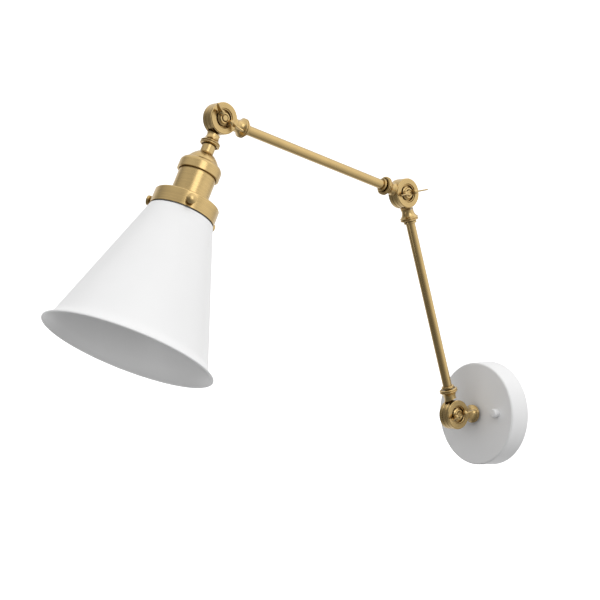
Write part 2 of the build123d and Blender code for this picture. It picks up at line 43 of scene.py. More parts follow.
# Lengths in the outlines are millimetres from each part's own axis; MM turns them into metres.
MM = 0.001
VIEW_AZIMUTH = 50.94
VIEW_ELEVATION = -1.02
VIEW_DISTANCE = 1.85437
VIEW_ACROSS, VIEW_UP = -0.22188, 0.13158
LAMP_AIM = (0, -0.28, 0.15)

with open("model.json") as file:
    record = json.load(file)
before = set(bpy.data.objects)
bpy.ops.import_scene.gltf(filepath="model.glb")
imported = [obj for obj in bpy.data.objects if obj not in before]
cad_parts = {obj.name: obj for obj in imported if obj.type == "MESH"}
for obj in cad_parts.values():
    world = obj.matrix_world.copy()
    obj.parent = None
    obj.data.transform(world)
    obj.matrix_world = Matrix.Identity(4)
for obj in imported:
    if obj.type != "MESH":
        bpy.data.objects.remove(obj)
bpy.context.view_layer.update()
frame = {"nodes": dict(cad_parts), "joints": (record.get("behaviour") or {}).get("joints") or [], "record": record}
JOINTS = {joint["name"]: joint for joint in frame["joints"]}
MOUNTS = {mount["name"]: mount for mount in frame["record"]["mounts"]}

HINGE_AXIS = Vector((1, 0, 0))
WALL_PIVOT = Vector(JOINTS["wall_hinge"]["pos_m"])
ELBOW_PIVOT = Vector(JOINTS["elbow_hinge"]["pos_m"])
HEAD_PIVOT = Vector(JOINTS["head_hinge"]["pos_m"])
HEAD_AXIS = Vector(MOUNTS["lampholder"]["axis"])
OUT_OF_WALL = Vector((0, -1, 0))
HINGES = {
    "wall": (WALL_PIVOT, "lower_arm"),
    "elbow": (ELBOW_PIVOT, "lower_arm"),
    "head": (HEAD_PIVOT, "head"),
}


def along(origin, axis):
    """Placement whose Z runs along the axis and whose X stays the hinge axis."""
    z = Vector(axis).normalized()
    turn = Matrix((HINGE_AXIS, z.cross(HINGE_AXIS), z)).transposed()
    return Matrix.Translation(origin) @ turn.to_4x4()


def across(origin):
    """Placement whose Z runs along the hinge axis, for the drums and their screws."""
    return Matrix.Translation(origin) @ Matrix.Rotation(pi / 2, 4, "Y")


AT_WALL = along(Vector((0, 0, 0)), OUT_OF_WALL)
AT_COLLAR = along(WALL_PIVOT, -OUT_OF_WALL)
AT_LOWER = along(WALL_PIVOT, ELBOW_PIVOT - WALL_PIVOT)
AT_LOWER_END = along(ELBOW_PIVOT, WALL_PIVOT - ELBOW_PIVOT)
AT_UPPER = along(ELBOW_PIVOT, HEAD_PIVOT - ELBOW_PIVOT)
AT_UPPER_END = along(HEAD_PIVOT, ELBOW_PIVOT - HEAD_PIVOT)
AT_HEAD = along(HEAD_PIVOT, HEAD_AXIS)


# ------------------------------------------------------------------ sizes and colours
def length(name, default_mm, description):
    """A length that a user can change, given in millimetres and kept in metres."""
    return FloatProperty(
        name=name, description=description, default=default_mm * MM, unit="LENGTH", min=0
    )


def colour(name, default, description):
    return FloatVectorProperty(
        name=name, description=description, default=default, subtype="COLOR", size=3, min=0, max=1
    )


class SconceSizes(PropertyGroup):
    canopy_radius: length("Canopy radius", 60.0, "Outer radius of the canopy at the wall")
    canopy_face_radius: length(
        "Canopy face radius", 58.9, "Radius of the canopy just behind its face"
    )
    canopy_depth: length("Canopy depth", 25.0, "How far the canopy's face stands off the wall")
    cap_nut_radius: length("Cap nut radius", 5.1, "Radius of the two white nuts on the canopy")
    cap_nut_length: length("Cap nut length", 7.0, "How far a cap nut stands off the canopy's face")
    tube_radius: length("Arm tube radius", 5.2, "Outer radius of both arm tubes")
    tube_seat: length("Tube seat", 31.9, "Distance from a hinge axis to the end of a tube")
    cap_band_radius: length("Cap band radius", 22.1, "Radius of the wide band on the socket cap")
    socket_radius: length("Socket radius", 19.5, "Outer radius of the socket body")
    ring_radius: length("Shade ring radius", 34.0, "Outer radius of the ring that holds the shade")
    shade_neck_radius: length(
        "Shade neck radius", 30.4, "Radius of the shade's neck inside its ring"
    )
    cone_top_radius: length("Cone top radius", 34.2, "Radius of the shade just under its ring")
    cone_end_radius: length("Cone end radius", 79.4, "Radius of the shade where the flare begins")
    rim_radius: length("Rim radius", 88.0, "Radius of the shade to the middle of its rolled rim")
    shade_wall: length("Shade wall", 0.9, "Thickness of the shade's sheet")
    wing_reach: length("Wing reach", 20.6, "Distance from the hinge axis to the tip of a wing")
    wing_thickness: length("Wing thickness", 1.5, "Thickness of the wings of a wing nut")
    segments: IntProperty(
        name="Segments", description="Steps round a large turned part", default=128, min=24
    )


class SconceColours(PropertyGroup):
    brass: colour("Brass", (0.62, 0.44, 0.19), "Reflection colour of the satin brass")
    # Used both for real patina in random wear spots and as painted shade: brass darkened in grooves and recesses
    # where shadow falls.
    patina_and_recess_shade: colour("Patina", (0.30, 0.16, 0.04), "Darker brass left in grooves and recesses")
    # Painted shade: a near-black colour put into the narrowest gaps, such as under the knuckle necks, where shadow
    # falls.
    painted_gap_shade: colour("Soot", (0.030, 0.022, 0.014), "Dirt in the narrowest gaps")
    enamel: colour("Enamel", (0.90, 0.90, 0.90), "White enamel of the canopy and the shade")
    zinc: colour("Zinc", (0.55, 0.56, 0.58), "Zinc plate on the hidden steel pieces")
    porcelain: colour("Porcelain", (0.80, 0.77, 0.70), "Body of the lampholder")
    shell: colour("Thread shell", (0.70, 0.68, 0.62), "Bare metal of the lampholder's thread")
    fibre: colour("Fibre", (0.10, 0.08, 0.06), "Pressed fibre washers and sleeve")
    wire: colour("Wire", (0.02, 0.02, 0.02), "Insulation of the lead wires")
    earth: colour("Earth screw", (0.05, 0.24, 0.09), "Green finish of the earth screw")
    floor: colour("Floor", (0.90, 0.90, 0.90), "Plain floor and backdrop")


# ------------------------------------------------------------------ outlines
def arc(start, middle, end, steps=8):
    """Points of the circular arc from start through middle to end, start left out."""
    (ax, ay), (bx, by), (cx, cy) = start, middle, end
    d = 2 * (ax * (by - cy) + bx * (cy - ay) + cx * (ay - by))
    a2, b2, c2 = ax * ax + ay * ay, bx * bx + by * by, cx * cx + cy * cy
    ux = (a2 * (by - cy) + b2 * (cy - ay) + c2 * (ay - by)) / d
    uy = (a2 * (cx - bx) + b2 * (ax - cx) + c2 * (bx - ax)) / d
    r = hypot(ax - ux, ay - uy)
    first = atan2(ay - uy, ax - ux)
    via = (atan2(by - uy, bx - ux) - first) % (2 * pi)
    last = (atan2(cy - uy, cx - ux) - first) % (2 * pi)
    if via > last:
        last -= 2 * pi
    turns = [first + last * i / steps for i in range(1, steps + 1)]
    return [(ux + r * cos(t), uy + r * sin(t)) for t in turns]


def eased(corners, steps=4):
    """Closed outline from (radius, height, fillet) corners; fillet 0 leaves a corner sharp."""
    points = []
    count = len(corners)
    for i, (x, y, fillet) in enumerate(corners):
        here = Vector((x, y))
        if not fillet:
            points.append((x, y))
            continue
        back = (Vector(corners[i - 1][:2]) - here).normalized()
        ahead = (Vector(corners[(i + 1) % count][:2]) - here).normalized()
        half = back.angle(ahead) / 2
        reach = fillet / tan(half)
        middle = here + (back + ahead).normalized() * (fillet / sin(half) - fillet)
        start, end = here + back * reach, here + ahead * reach
        points += [tuple(start), *arc(start, middle, end, steps)]
    return points


def plain(points):
    """Corners without fillets, for the stretches of an outline that arcs already round off."""
    return [(x, y, 0) for x, y in points]


# ------------------------------------------------------------------ mesh tools
def spin(bm, outline, steps, closed=True):
    """Turn an outline of (radius, height) points in millimetres once round Z."""
    verts = [bm.verts.new((r * MM, 0, h * MM)) for r, h in outline]
    pairs = list(zip(verts, verts[1:])) + ([(verts[-1], verts[0])] if closed else [])
    edges = [bm.edges.new(pair) for pair in pairs]
    bmesh.ops.spin(
        bm,
        geom=verts + edges,
        cent=(0, 0, 0),
        axis=(0, 0, 1),
        angle=2 * pi,
        steps=steps,
        use_merge=True,
    )
    bmesh.ops.remove_doubles(bm, verts=bm.verts, dist=1e-7)


def turned(outline, steps=96, closed=True):
    """A new mesh holding one turned solid with its faces outward."""
    bm = bmesh.new()
    spin(bm, outline, steps, closed)
    bmesh.ops.recalc_face_normals(bm, faces=bm.faces)
    return bm


def threaded(radius, depth, pitch, low, high, steps=40):
    """A screw thread from low to high along Z, cut flat at both ends."""
    bm = bmesh.new()
    rows = ceil((high - low) / pitch) + 2
    verts = []
    for row in range(rows + 1):
        z = low + (row - 1) * pitch
        verts += [
            bm.verts.new((r * MM, 0, h * MM))
            for r, h in ((radius, z), (radius - depth, z + pitch / 2))
        ]
    edges = [bm.edges.new(pair) for pair in zip(verts, verts[1:])]
    climb = Vector((0, 0, pitch * MM / steps))
    bmesh.ops.spin(
        bm,
        geom=verts + edges,
        cent=(0, 0, 0),
        axis=(0, 0, 1),
        dvec=climb,
        angle=2 * pi,
        steps=steps,
    )
    bmesh.ops.remove_doubles(bm, verts=bm.verts, dist=1e-6)
    for z, inner in ((low, True), (high, False)):
        geometry = bm.verts[:] + bm.edges[:] + bm.faces[:]
        cut = bmesh.ops.bisect_plane(
            bm,
            geom=geometry,
            plane_co=(0, 0, z * MM),
            plane_no=(0, 0, 1),
            clear_inner=inner,
            clear_outer=not inner,
        )
        rim = [e for e in cut["geom_cut"] if isinstance(e, bmesh.types.BMEdge)]
        bmesh.ops.contextual_create(bm, geom=rim)
    bmesh.ops.recalc_face_normals(bm, faces=bm.faces)
    return bm


def joined(*parts):
    """One mesh out of several, with the parts freed."""
    bm = bmesh.new()
    for part in parts:
        mesh = bpy.data.meshes.new("part")
        part.to_mesh(mesh)
        part.free()
        bm.from_mesh(mesh)
        bpy.data.meshes.remove(mesh)
    return bm


def subtract(bm, cutter):
    """Cut one closed mesh out of another, with the cutter freed."""
    objects = []
    for part in (bm, cutter):
        mesh = bpy.data.meshes.new("part")
        part.to_mesh(mesh)
        obj = bpy.data.objects.new("part", mesh)
        bpy.context.scene.collection.objects.link(obj)
        objects.append(obj)
    body, tool = objects
    modifier = body.modifiers.new("Cut", "BOOLEAN")
    modifier.operation, modifier.solver, modifier.object = "DIFFERENCE", "EXACT", tool
    evaluated = body.evaluated_get(bpy.context.evaluated_depsgraph_get())
    bm.clear()
    bm.from_mesh(evaluated.to_mesh())
    cutter.free()
    for obj in objects:
        mesh = obj.data
        bpy.data.objects.remove(obj)
        bpy.data.meshes.remove(mesh)


def bevel(bm, edges, width_mm, segments=2):
    bmesh.ops.bevel(
        bm,
        geom=list(edges),
        offset=width_mm * MM,
        offset_type="OFFSET",
        segments=segments,
        profile=0.5,
        affect="EDGES",
        material=-1,
    )


def make_piece(name, bm, place, body, material, replaced=(), weighted=True):
    """Finish a mesh: put it in place, shade it, and let it ride on its body."""
    bmesh.ops.transform(bm, matrix=place, verts=bm.verts)
    mesh = bpy.data.meshes.new(name)
    bm.to_mesh(mesh)
    bm.free()
    mesh.shade_smooth()
    mesh.set_sharp_from_angle(angle=radians(35))
    mesh.materials.append(material)
    obj = bpy.data.objects.new(name, mesh)
    bpy.context.scene.collection.objects.link(obj)
    if weighted:
        modifier = obj.modifiers.new("Weighted Normal", "WEIGHTED_NORMAL")
        modifier.keep_sharp = True
    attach(obj, body)
    if replaced:
        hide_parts(*replaced)
    return obj


def finish_node(node, material):
    """Give a CAD node its finish and leave its mesh alone."""
    obj = frame["nodes"][node]
    obj.data.materials.clear()
    obj.data.materials.append(material)


# ------------------------------------------------------------------ materials
class NodeTree:
    """Short calls for building a node tree."""

    def __init__(self, tree):
        self.tree = tree

    def add(self, kind, **settings):
        node = self.tree.nodes.new(kind)
        for key, value in settings.items():
            setattr(node, key, value)
        return node

    def link(self, source, target):
        self.tree.links.new(source, target)

    def math(self, operation, *values):
        node = self.add("ShaderNodeMath", operation=operation)
        for socket, value in zip(node.inputs, values):
            if isinstance(value, (int, float)):
                socket.default_value = value
            else:
                self.link(value, socket)
        return node.outputs[0]

    def scaled(self, vector, scale):
        node = self.add("ShaderNodeVectorMath", operation="MULTIPLY")
        self.link(vector, node.inputs[0])
        node.inputs[1].default_value = scale
        return node.outputs[0]

    def noise(self, vector, scale, detail=3.0, roughness=0.5):
        node = self.add("ShaderNodeTexNoise")
        self.link(vector, node.inputs["Vector"])
        node.inputs["Scale"].default_value = scale
        node.inputs["Detail"].default_value = detail
        node.inputs["Roughness"].default_value = roughness
        return node.outputs["Fac"]

    def ramp(self, value, low, high, to_low=0.0, to_high=1.0):
        node = self.add("ShaderNodeMapRange")
        self.link(value, node.inputs["Value"])
        for key, number in (
            ("From Min", low), ("From Max", high), ("To Min", to_low), ("To Max", to_high)
        ):
            node.inputs[key].default_value = number
        return node.outputs["Result"]

    def mix(self, factor, first, second):
        node = self.add("ShaderNodeMix", data_type="RGBA")
        self.link(factor, node.inputs["Factor"])
        for socket, value in ((node.inputs[6], first), (node.inputs[7], second)):
            if isinstance(value, bpy.types.NodeSocket):
                self.link(value, socket)
            else:
                socket.default_value = (*value, 1)
        return node.outputs[2]


class Nodes(NodeTree):
    """A material's node tree, with its surface patterns and its shader."""

    def __init__(self, name):
        self.material = bpy.data.materials.new(name)
        self.material.use_nodes = True
        super().__init__(self.material.node_tree)
        self.shader = self.tree.nodes["Principled BSDF"]

    def local(self, place):
        """Object coordinates measured in a part's own placement."""
        mapping = self.add("ShaderNodeMapping", vector_type="TEXTURE")
        mapping.inputs["Location"].default_value = place.to_translation()
        mapping.inputs["Rotation"].default_value = place.to_euler()
        self.link(self.add("ShaderNodeTexCoord").outputs["Object"], mapping.inputs["Vector"])
        return mapping.outputs["Vector"]

    def occlusion(self, distance_mm):
        """How open the surface is, from 0 deep in a corner to 1 in the open."""
        node = self.add("ShaderNodeAmbientOcclusion", samples=8)
        node.inputs["Distance"].default_value = distance_mm * MM
        return node.outputs["AO"]

    def bump(self, height, distance_mm, strength=1.0, normal=None):
        node = self.add("ShaderNodeBump")
        node.inputs["Distance"].default_value = distance_mm * MM
        node.inputs["Strength"].default_value = strength
        self.link(height, node.inputs["Height"])
        if normal is not None:
            self.link(normal, node.inputs["Normal"])
        return node.outputs["Normal"]

    def shade(self, **sockets):
        """Set shader sockets by name, with a link where the value is a socket."""
        for key, value in sockets.items():
            target = self.shader.inputs[key.replace("_", " ")]
            if isinstance(value, bpy.types.NodeSocket):
                self.link(value, target)
            elif key == "Base_Color":
                target.default_value = (*value, 1)
            else:
                target.default_value = value
        return self.material


def lathe_coordinates(nodes, place):
    """(radius, 0, height) of a point round a part's axis, so that a pattern makes rings."""
    split = nodes.add("ShaderNodeSeparateXYZ")
    nodes.link(nodes.local(place), split.inputs[0])
    x2 = nodes.math("MULTIPLY", split.outputs["X"], split.outputs["X"])
    r2 = nodes.math("MULTIPLY_ADD", split.outputs["Y"], split.outputs["Y"], x2)
    join = nodes.add("ShaderNodeCombineXYZ")
    nodes.link(nodes.math("SQRT", r2), join.inputs["X"])
    nodes.link(split.outputs["Z"], join.inputs["Z"])
    return join.outputs[0]


def brass(name, place, grain="turned", rough=0.22):
    """Satin brass: brushed lines, streaks that partly stand for painted reflections, cloudy colour, faint
    scratches, patina and painted shade in the recesses, and painted near-black shade in the narrowest gaps.

    The brushing runs round the axis on turned parts and along it on drawn tubes."""
    colours = bpy.context.scene.sconce_colours
    nodes = Nodes(name)
    local = nodes.local(place)
    if grain == "turned":
        brushed, density = lathe_coordinates(nodes, place), 5200
    else:
        brushed, density = nodes.scaled(local, (1, 1, 0.012)), 3600
    lines = nodes.noise(brushed, density, 4, 0.65)
    streaks_and_painted_reflections = nodes.noise(brushed, density / 9, 2, 0.5)
    cloud = nodes.noise(local, 70, 3, 0.5)
    wear = nodes.noise(local, 330, 5, 0.7)
    # Painted shade and patina: surfaces that occlusion over 3 mm finds in recesses turn towards the patina colour.
    recess_patina_and_shade = nodes.ramp(nodes.occlusion(3.0), 0.2, 0.85, 0.9, 0.0)
    # Lighter and darker brass tones follow the streaks and a cloud. This is random tone, and along the tubes it is
    # partly painted reflection stripes.
    light = tuple(min(1, c * 1.07) for c in colours.brass)
    deep = tuple(c * 0.9 for c in colours.brass)
    tone = nodes.math(
        "MULTIPLY_ADD", nodes.ramp(streaks_and_painted_reflections, 0.35, 0.65), 0.5, nodes.ramp(cloud, 0.3, 0.7, 0, 0.5)
    )
    clean = nodes.mix(tone, deep, light)
    spotted = nodes.mix(nodes.ramp(wear, 0.62, 0.8, 0, 0.16), clean, colours.patina_and_recess_shade)
    tarnished_and_shaded = nodes.mix(recess_patina_and_shade, spotted, colours.patina_and_recess_shade)
    # Painted shade: the narrowest gaps, found by occlusion over 9 mm, turn near-black.
    base = nodes.mix(
        nodes.ramp(nodes.occlusion(9.0), 0.08, 0.3, 0.95, 0.0), tarnished_and_shaded, colours.painted_gap_shade
    )
    roughness = nodes.math("MULTIPLY_ADD", nodes.ramp(lines, 0.3, 0.7, -0.5, 0.5), 0.07, rough)
    surface = nodes.bump(lines, 0.03, 0.3)
    return nodes.shade(
        Base_Color=base,
        Metallic=1.0,
        Roughness=roughness,
        Normal=surface,
        Coat_Weight=0.2,
        Coat_Roughness=0.15,
    )


def enamel(name, place):
    """Gloss white enamel: faint orange-peel, slow changes of tone, and painted shade that greys sheltered faces
    such as the shade's inside.
    """
    colours = bpy.context.scene.sconce_colours
    nodes = Nodes(name)
    local = nodes.local(place)
    cloud = nodes.noise(local, 22, 2, 0.5)
    peel = nodes.noise(local, 820, 2, 0.45)
    specks = nodes.noise(local, 3000, 2, 0.6)
    shaded = tuple(c * 0.98 for c in colours.enamel)
    open_tone = nodes.mix(nodes.ramp(cloud, 0.3, 0.7), shaded, colours.enamel)
    # Painted shade: faces that occlusion over 120 mm finds sheltered, such as the inside of the shade, get a
    # greyer copy of the enamel.
    painted_shelter_shade = nodes.ramp(nodes.occlusion(120), 0.2, 0.7, 1.0, 0.0)
    base = nodes.mix(painted_shelter_shade, open_tone, tuple(c * 0.72 for c in colours.enamel))
    rough = nodes.ramp(cloud, 0.25, 0.75, 0.3, 0.38)
    surface = nodes.bump(peel, 0.05, 0.12)
    surface = nodes.bump(specks, 0.01, 0.15, surface)
    return nodes.shade(
        Base_Color=base,
        Roughness=rough,
        Normal=surface,
        Coat_Weight=0.15,
        Coat_Roughness=0.2,
        IOR=1.45,
    )


def plated(name, tint, place, metallic=1.0, rough=0.35, size=700):
    """Plated or bare metal with a fine crystal pattern and small changes of gloss."""
    nodes = Nodes(name)
    local = nodes.local(place)
    cells = nodes.add("ShaderNodeTexVoronoi")
    nodes.link(local, cells.inputs["Vector"])
    cells.inputs["Scale"].default_value = size
    tone = nodes.ramp(
        nodes.math("FRACT", nodes.math("MULTIPLY", cells.outputs["Distance"], 3.0)), 0, 1
    )
    base = nodes.mix(tone, tuple(c * 0.85 for c in tint), tint)
    grain = nodes.noise(local, size * 3, 3, 0.6)
    return nodes.shade(
        Base_Color=base,
        Metallic=metallic,
        Roughness=nodes.ramp(grain, 0.3, 0.7, rough - 0.06, rough + 0.1),
        Normal=nodes.bump(grain, 0.02, 0.3),
    )


def mineral(name, tint, place, rough=0.6, size=1400):
    """Matt fired or pressed material with fine pores and mottling."""
    nodes = Nodes(name)
    local = nodes.local(place)
    mottle = nodes.noise(local, size / 8, 4, 0.6)
    pores = nodes.noise(local, size, 3, 0.7)
    base = nodes.mix(nodes.ramp(mottle, 0.3, 0.7), tuple(c * 0.8 for c in tint), tint)
    return nodes.shade(
        Base_Color=base,
        Roughness=nodes.ramp(pores, 0.3, 0.7, rough - 0.08, rough + 0.12),
        Normal=nodes.bump(pores, 0.05, 0.4),
    )


# ------------------------------------------------------------------ operators
class PieceOperator:
    """What the piece operators share."""

    bl_options = {"REGISTER", "UNDO"}

    @property
    def sizes(self):
        return bpy.context.scene.sconce_sizes

    @property
    def colours(self):
        return bpy.context.scene.sconce_colours

    def mm(self, name):
        return getattr(self.sizes, name) / MM


class SCONCE_OT_canopy(PieceOperator, Operator):
    """Build the white canopy and its two cap nuts"""

    bl_idname = "sconce.canopy"
    bl_label = "Canopy"

    def execute(self, context):
        back, face = self.mm("canopy_radius"), self.mm("canopy_face_radius")
        depth = self.mm("canopy_depth")
        wall, hole = 1.2, 4.68
        outline = eased(
            [
                (back, 0, 0.3),
                (face, depth, 2.2),
                (hole, depth, 0.25),
                (hole, depth - wall, 0),
                (face - wall, depth - wall, 1.2),
                (back - wall, 0, 0.3),
            ],
            steps=6,
        )
        white = enamel("canopy_enamel", AT_WALL)
        make_piece(
            "canopy_cover", turned(outline, self.sizes.segments),
            AT_WALL, "base", white, [
                "canopy"
            ]
        )
        self.build_cap_nuts(white, depth)
        return {"FINISHED"}

    def build_cap_nuts(self, white, depth):
        radius, top = self.mm("cap_nut_radius"), depth + self.mm("cap_nut_length")
        stud, turn = 34.5, radians(3.0)
        outline = [
            (0, top),
            *eased([(0, depth, 0), (radius, depth, 0.3), (radius, top, 1.8), (0, top, 0)]),
        ]
        parts = []
        for side in (-1, 1):
            nut = turned(outline[1:], 48, closed=False)
            bmesh.ops.translate(
                nut, vec=Vector((cos(turn), sin(turn), 0)) * side * stud * MM, verts=nut.verts
            )
            parts.append(nut)
        make_piece(
            "canopy_nuts",
            joined(*parts),
            AT_WALL,
            "base",
            white,
            ["canopy_cap_nuts"],
        )


class SCONCE_OT_wall_hardware(PieceOperator, Operator):
    """Finish the wall plate, its studs and screws, and the nipple behind the canopy"""

    bl_idname = "sconce.wall_hardware"
    bl_label = "Wall hardware"

    def execute(self, context):
        zinc = plated("zinc_plate", self.colours.zinc, AT_WALL)
        for node in (
            "mounting_plate", "mounting_studs", "wall_nipple", "wall_lock_washer", "wall_locknut"
        ):
            finish_node(node, zinc)
        finish_node(
            "ground_screw", plated("earth_green", self.colours.earth, AT_WALL, 0.6, 0.4, 900)
        )
        return {"FINISHED"}


class SCONCE_OT_knuckles(PieceOperator, Operator):
    """Finish the six knuckle halves with brass turned round their hinge axes"""

    bl_idname = "sconce.knuckles"
    bl_label = "Knuckles"

    def execute(self, context):
        halves = {
            "wall": (WALL_PIVOT, ("wall_knuckle", "lower_arm_wall_knuckle")),
            "elbow": (ELBOW_PIVOT, ("lower_arm_elbow_knuckle", "upper_arm_elbow_knuckle")),
            "head": (HEAD_PIVOT, ("upper_arm_head_knuckle", "head_knuckle")),
        }
        for name, (pivot, nodes) in halves.items():
            metal = brass(f"{name}_drum_brass", across(pivot), "turned", 0.27)
            for node in nodes:
                finish_node(node, metal)
        return {"FINISHED"}


class SCONCE_OT_hinge_hardware(PieceOperator, Operator):
    """Build the hinge screws and the wing nuts, and finish their washers"""

    bl_idname = "sconce.hinge_hardware"
    bl_label = "Hinge hardware"

    def execute(self, context):
        wings = {"wall": 16.5, "elbow": 12.6, "head": -38.5}
        fibre = mineral("washer_fibre", self.colours.fibre, AT_WALL, 0.7)
        for name, (pivot, body) in HINGES.items():
            place = across(pivot)
            metal = brass(f"{name}_screw_brass", place, "turned", 0.24)
            finish_node(f"{name}_friction_washer", fibre)
            finish_node(f"{name}_spring_washer", metal)
            make_piece(
                f"{name}_hinge_screw", self.screw(), place, body, metal, [
                    f"{name}_hinge_bolt"
                ]
            )
            nut = self.wing_nut()
            bmesh.ops.rotate(
                nut,
                cent=(0, 0, 0),
                matrix=Matrix.Rotation(radians(90 + wings[name]), 3, "Z"),
                verts=nut.verts,
            )
            make_piece(
                f"{name}_thumb_nut", nut, place, f"{name}_wing_nut", metal, [
                    f"{name}_wing_nut"
                ]
            )
        return {"FINISHED"}

    def screw(self):
        """Domed slotted head at the back of the drum, shank and thread end in front."""
        radius, seat, top = 5.1, -5.85, -8.6
        rim = top + 0.9
        head = turned(
            [
                (0, seat),
                (radius, seat),
                (radius, rim),
                *arc((radius, rim), (radius / 2, top + 0.22), (0, top)),
            ],
            48,
            closed=False,
        )
        self.cut_slot(head, radius, 1.2, top + 1.2)
        shank = turned([(0, seat), (2.95, seat), (2.95, 5.0), (0, 5.0)], 32, closed=False)
        return joined(head, shank, threaded(3.0, 0.42, 1.0, 5.0, 9.5))

    def cut_slot(self, head, radius, width, floor):
        """Cut a straight slot across a domed head and close its walls and its floor."""
        slot = bmesh.new()
        low, high = floor - 3, floor
        bmesh.ops.create_cube(
            slot,
            size=1,
            matrix=Matrix.Translation((0, 0, (low + high) / 2 * MM))
            @ Matrix.Diagonal((width * MM, 3 * radius * MM, (high - low) * MM, 1)),
        )
        subtract(head, slot)

    def wing_nut(self):
        """Round base and hub with two thin wings that leave a rounded root and sweep outward."""
        bore, low, base, hub, hub_top, cup = 3.06, 5.4, 7.6, 5.6, 9.0, 1.1
        turned_base = turned(
            eased(
                [
                    (bore, low, 0),
                    (base, low, 0.2),
                    (base, low + 1.2, 0.5),
                    (hub + 0.6, low + 2.4, 0.8),
                    (hub, hub_top, 0.6),
                    (bore + cup, hub_top, 0.2),
                    (bore, hub_top - cup, 0.2),
                ]
            ),
            64,
        )
        reach, thick = self.mm("wing_reach"), self.mm("wing_thickness")
        top = 18.9
        under, tip, root = (reach - 0.6, top - 2.3), (reach - 1, top), (hub + 1, top - 4.4)
        outline = [
            (hub - 1, low + 2),
            (base - 0.2, low + 2),
            *arc((base - 0.2, low + 2), (14.4, 11.2), under, 10),
            *arc(under, (reach, top - 0.8), tip, 6),
            *arc(tip, (12.4, top - 3.2), root, 10),
            (hub - 1, top - 5),
        ]
        blades = []
        for turn in (0, pi):
            blade = bmesh.new()
            low_side = [blade.verts.new((x * MM, -thick / 2 * MM, z * MM)) for x, z in outline]
            face = blade.faces.new(low_side)
            pushed = bmesh.ops.extrude_face_region(blade, geom=[face])["geom"]
            moved = [v for v in pushed if isinstance(v, bmesh.types.BMVert)]
            bmesh.ops.translate(blade, vec=(0, thick * MM, 0), verts=moved)
            bevel(blade, blade.edges, 0.35, 3)
            bmesh.ops.create_uvsphere(
                blade,
                u_segments=32,
                v_segments=20,
                radius=3.0 * MM,
                matrix=Matrix.Translation((7.3 * MM, 0, 11.4 * MM)),
            )
            bmesh.ops.recalc_face_normals(blade, faces=blade.faces)
            bmesh.ops.rotate(
                blade, cent=(0, 0, 0), matrix=Matrix.Rotation(turn, 3, "Z"), verts=blade.verts
            )
            blades.append(blade)
        return joined(turned_base, *blades)


class SCONCE_OT_arms(PieceOperator, Operator):
    """Build both arm tubes and the rings at their ends, and finish the wires inside"""

    bl_idname = "sconce.arms"
    bl_label = "Arms"

    def execute(self, context):
        wire = mineral("wire_jacket", self.colours.wire, AT_WALL, 0.45, 900)
        for name, start, end in (
            ("lower_arm", AT_LOWER, AT_LOWER_END), ("upper_arm", AT_UPPER, AT_UPPER_END)
        ):
            span = (end.to_translation() - start.to_translation()).length / MM
            seat, radius = self.mm("tube_seat"), self.mm("tube_radius")
            outline = eased([
                (4.2, seat, 0),
                (radius, seat, 0.1),
                (radius, span - seat, 0.1),
                (4.2, span - seat, 0),
            ])
            drawn = brass(f"{name}_tube_brass", start, "drawn", 0.25)
            make_piece(
                f"{name}_drawn_tube", turned(outline, 64), start, name, drawn, [
                    f"{name}_tube"
                ]
            )
            rings = []
            for place in (start, end):
                ring = turned(self.ferrule_outline(), 64)
                bmesh.ops.transform(ring, matrix=place, verts=ring.verts)
                rings.append(ring)
            cut = brass(f"{name}_ring_brass", start, "turned", 0.26)
            make_piece(
                f"{name}_end_rings", joined(*rings), Matrix(), name, cut, [
                    f"{name}_ferrules"
                ]
            )
            finish_node(f"{name}_wires", wire)
        self.build_seat_ring()
        return {"FINISHED"}

    def ferrule_outline(self):
        bore = self.mm("tube_radius") + 0.02
        return eased([(bore, 31.9, 0), (7.2, 31.9, 0.2), (7.2, 34.5, 0.7), (bore, 34.5, 0.15)])

    def build_seat_ring(self):
        outline = eased([(4.6, 30.2, 0), (7.2, 30.2, 0.2), (7.2, 34.05, 0.2), (4.6, 34.05, 0)])
        metal = brass("seat_ring_brass", AT_COLLAR, "turned", 0.26)
        make_piece(
            "wall_collar_ring", turned(outline, 64),
            AT_COLLAR, "wall_swivel", metal, [
                "wall_seat_ring"
            ]
        )


